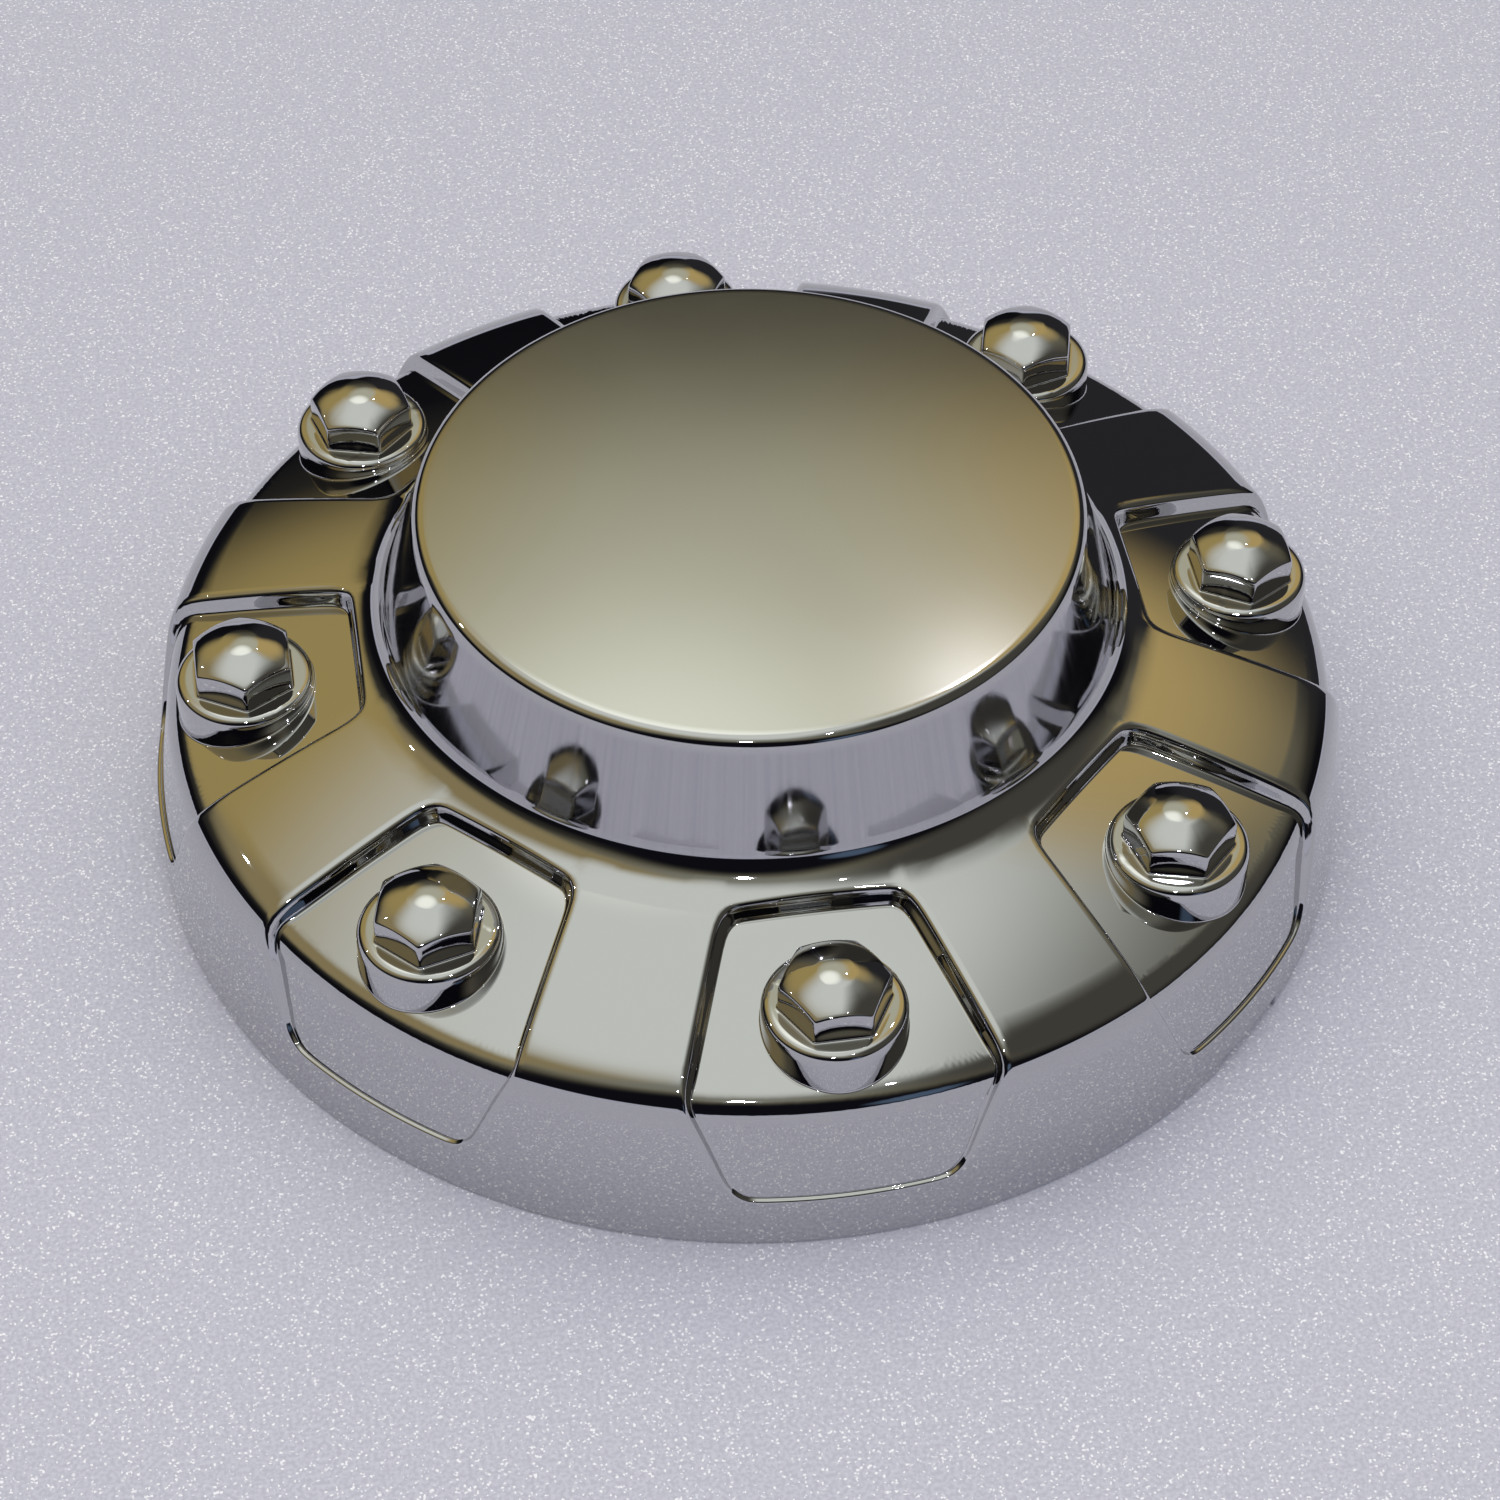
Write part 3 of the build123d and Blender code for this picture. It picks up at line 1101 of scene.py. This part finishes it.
on_top = calculate(tree, "GREATER_THAN", parts["Z"], SATIN_LOWEST)
satin = calculate(tree, "MULTIPLY", ease(tree, reach, SATIN_EDGE[1], SATIN_EDGE[0]), on_top)
above_foot = ease(tree, parts["Z"], STREAKED_WALL[0], STREAKED_WALL[0] + WALL_FADES[0])
below_rim = ease(tree, parts["Z"], STREAKED_WALL[1], STREAKED_WALL[1] - WALL_FADES[1])
on_wall = calculate(tree, "MULTIPLY", above_foot, below_rim)
on_wall = calculate(tree, "MULTIPLY", on_wall, calculate(tree, "LESS_THAN", reach, FOOT[0] * MM))
print("nodes in the masks:", len(tree.nodes))

# %% Roughness of the chrome
# The least roughness of a finish, and what its noise adds to it
POLISHED = (0.01, 0.022)
STREAKED = (0.0, 0.11)
SATINY = (0.215, 0.05)
STREAK_SCALE = 75.0
HAZE_SCALE = 70.0
HAZE_DETAIL = 4.0
MOTTLE_SCALE = 22.0

streaks = noise(tree, outward, STREAK_SCALE)
haze = noise(tree, place, HAZE_SCALE, HAZE_DETAIL)
mottle = noise(tree, place, MOTTLE_SCALE)

polished = calculate(tree, "MULTIPLY_ADD", haze, POLISHED[1], POLISHED[0])
streaked = calculate(tree, "MULTIPLY_ADD", streaks, STREAKED[1], STREAKED[0])
polished = calculate(tree, "MULTIPLY_ADD", on_wall, streaked, polished)
satiny = calculate(tree, "MULTIPLY_ADD", mottle, SATINY[1], SATINY[0])
spread_out = calculate(tree, "SUBTRACT", satiny, polished)
roughness = calculate(tree, "MULTIPLY_ADD", satin, spread_out, polished)
tree.links.new(roughness, surface.inputs["Roughness"])
print("roughness of the mirror and of the satin, from:", POLISHED[0], SATINY[0])

# %% Colour of the chrome, and the lean of the drum's wall
PLATING = (0.55, 0.55, 0.56, 1.0)
STREAK_TINT = (0.42, 0.42, 0.46, 1.0)
SATIN_DARK = (0.51, 0.51, 0.49, 1.0)
SATIN_PALE = (0.56, 0.56, 0.54, 1.0)
WALL_LEAN = 0.085

tint = blend(tree, mottle, SATIN_DARK, SATIN_PALE)
plating = blend(tree, calculate(tree, "MULTIPLY", on_wall, streaks), PLATING, STREAK_TINT)
tree.links.new(blend(tree, satin, plating, tint), surface.inputs["Base Color"])

# The normal of the drum's wall leans down a little, so that its mirror image of the heads
# stands as high as on the real cap
facing = add_node(tree, "ShaderNodeNewGeometry").outputs["Normal"]
down = calculate(tree, "MULTIPLY", on_wall, -WALL_LEAN)
lean = add_node(tree, "ShaderNodeCombineXYZ", {"Z": down})
leaned = calculate_vector(tree, "ADD", facing, lean.outputs[0])["Vector"]
leaned = calculate_vector(tree, "NORMALIZE", leaned)["Vector"]
tree.links.new(leaned, surface.inputs["Normal"])
surface.inputs["Metallic"].default_value = 1.0
cap.data.materials.clear()
cap.data.materials.append(chrome)
print("nodes in the chrome:", len(tree.nodes))

# %% [markdown]
# ## The floor
#
# The cap stands on a pale lavender board with a fine glitter. It matters more than a
# floor usually does, because the whole skirt and the drum's wall mirror it. Small cells
# of random brightness give the glitter, and a fine noise is the grain between them. The
# board is very wide, so that a low view still meets it and not the dark of the room.

# %% Floor
FLOOR_SIZE = 60.0
FLOOR_COLOUR = (0.55, 0.555, 0.66, 1.0)
FLOOR_DARK = (0.46, 0.465, 0.57, 1.0)
GLITTER = (0.84, 0.84, 0.92, 1.0)
FLOOR_ROUGHNESS = 0.75
GRAIN_SCALE = 1100.0
GRAIN_EDGE = (0.35, 0.65)
CELL_SCALE = 2200.0
# Share of the cells' random brightness from which they glitter, and where it is full
GLITTER_EDGE = (0.91, 0.97)

bpy.ops.object.select_all(action="DESELECT")
bpy.ops.mesh.primitive_plane_add(size=FLOOR_SIZE)
floor = bpy.context.object
floor.name = "floor"
board = bpy.data.materials.new("pale_board")
board.use_nodes = True
tree = board.node_tree
surface = tree.nodes["Principled BSDF"]
place = add_node(tree, "ShaderNodeTexCoord").outputs["Object"]
grain = noise(tree, place, GRAIN_SCALE)
cells = add_node(tree, "ShaderNodeTexVoronoi", {"Vector": place, "Scale": CELL_SCALE})
spark = add_node(tree, "ShaderNodeSeparateColor", {"Color": cells.outputs["Color"]}).outputs[0]
colour = blend(tree, ease(tree, grain, *GRAIN_EDGE), FLOOR_DARK, FLOOR_COLOUR)
colour = blend(tree, ease(tree, spark, *GLITTER_EDGE), colour, GLITTER)
tree.links.new(colour, surface.inputs["Base Color"])
surface.inputs["Roughness"].default_value = FLOOR_ROUGHNESS
floor.data.materials.append(board)
print("floor in metres:", FLOOR_SIZE)

# %% [markdown]
# ## The room that the chrome mirrors
#
# A mirror has no colour of its own, so the room is half of the material. The world is a
# calm, rather dark ceiling that brightens overhead, over a low pale wall that carries on
# the floor as the background of a low view. Soft round fields stand for warm walls, a
# pale lamp, dark corners and a window. They could be lit planes, but a world painted by
# direction has no edges to model, and stays right when the cap is seen from any side.
# Each field is written as its direction, its size, and the colour that chrome shows.

# %% Colours and directions of the room
CHROME_SHARE = 0.55


def linear(byte):
    """Light of one channel of a screen colour from 0 to 255."""
    share = byte / 255
    return ((share + 0.055) / 1.055) ** 2.4 if share > 0.04045 else share / 12.92


def room_colour(seen):
    """Light of a place in the room that chrome shows with a given screen colour."""
    return (*(linear(byte) / CHROME_SHARE for byte in seen), 1.0)


def direction(bearing, height):
    """Direction at a bearing, clockwise from +Y, and a height above the horizon."""
    turn, rise = math.radians(bearing), math.radians(height)
    return (math.sin(turn) * math.cos(rise), math.cos(turn) * math.cos(rise), math.sin(rise))


print("straight ahead:", direction(0, 0))

# %% Room
# Height in degrees and colour seen in chrome
CEILING = ((0, (9, 9, 12)), (15, (14, 14, 17)), (25, (44, 42, 36)), (34, (82, 78, 64)),
           (45, (98, 95, 80)), (60, (116, 116, 106)), (75, (136, 138, 131)), (90, (154, 156, 149)))
LOW_WALL = (150, 151, 161)
# Heights in degrees between which the low wall fades out
LOW_WALL_TOP = (3.2, 4.8)
# Bearing, height, radius of the full colour, radius where it ends, colour seen in chrome
FIELDS = (
    (-80, 58, 24, 38, (124, 112, 80)),
    (-26, 42, 6, 25, (143, 126, 78)),
    (-10, 82, 8, 40, (186, 189, 182)),
    (110, 42, 18, 42, (60, 58, 52)),
    (36, 10, 15, 32, (34, 34, 36)),
    (33, 46, 5, 20, (162, 141, 90)),
    (-170, 5, 30, 50, (12, 12, 17)),
    (161, 14, 3, 10, (66, 80, 98)),
    (7, 50, 5, 17, (160, 159, 140)),
    (-1, 62, 3, 13, (232, 234, 222)),
)

world = bpy.data.worlds.new("room")
bpy.context.scene.world = world
world.use_nodes = True
tree = world.node_tree
toward = add_node(tree, "ShaderNodeTexCoord").outputs["Generated"]
rise = add_node(tree, "ShaderNodeSeparateXYZ", {"Vector": toward}).outputs["Z"]
ceiling = add_node(tree, "ShaderNodeValToRGB", {"Fac": rise})
stops = ceiling.color_ramp.elements
stops[0].color = room_colour(CEILING[0][1])
stops[1].color = room_colour(CEILING[-1][1])
for height, seen in CEILING[1:-1]:
    stops.new(math.sin(math.radians(height))).color = room_colour(seen)
light = ceiling.outputs["Color"]
for bearing, height, full, end, seen in FIELDS:
    near = calculate_vector(tree, "DOT_PRODUCT", toward, direction(bearing, height))["Value"]
    share = ease(tree, near, math.cos(math.radians(end)), math.cos(math.radians(full)))
    light = blend(tree, share, light, room_colour(seen))
low, high = (math.sin(math.radians(height)) for height in LOW_WALL_TOP)
light = blend(tree, ease(tree, rise, high, low), light, room_colour(LOW_WALL))
tree.links.new(light, tree.nodes["Background"].inputs["Color"])
print("fields in the room:", len(FIELDS))

# %% [markdown]
# ## Lamps
#
# A wide soft sun from overhead lights the floor evenly at any distance. It is kept out of
# the reflections, because the painted room is what the chrome should show. A few small
# bulbs do show there, as one spark on every rounding and every edge of a boss.

# %% Lamps
SUN_STRENGTH = 1.7
SUN_ANGLE = math.radians(120)
BULB_COLOUR = (0.93, 0.93, 1.0)
# Bearing, height, distance in metres, radius in metres, power in watts
BULBS = (
    (-170.0, 50.0, 3.0, 0.08, 60.0),
    (150.0, 66.0, 3.0, 0.03, 5.0),
    (-60.0, 40.0, 3.0, 0.03, 4.0),
    (30.0, 56.0, 3.0, 0.03, 4.0),
)

sun_data = bpy.data.lights.new("soft_sun", "SUN")
sun_data.energy = SUN_STRENGTH
sun_data.angle = SUN_ANGLE
sun = bpy.data.objects.new("soft_sun", sun_data)
sun.visible_glossy = False
bpy.context.collection.objects.link(sun)

for number, (bearing, height, distance, radius, power) in enumerate(BULBS):
    bulb_data = bpy.data.lights.new(f"bulb_{number + 1}", "POINT")
    bulb_data.energy = power
    bulb_data.shadow_soft_size = radius
    bulb_data.color = BULB_COLOUR
    bulb = bpy.data.objects.new(bulb_data.name, bulb_data)
    bulb.location = distance * Vector(direction(bearing, height))
    bpy.context.collection.objects.link(bulb)
print("lamps:", 1 + len(BULBS))
bpy.context.scene.view_settings.view_transform = "Standard"
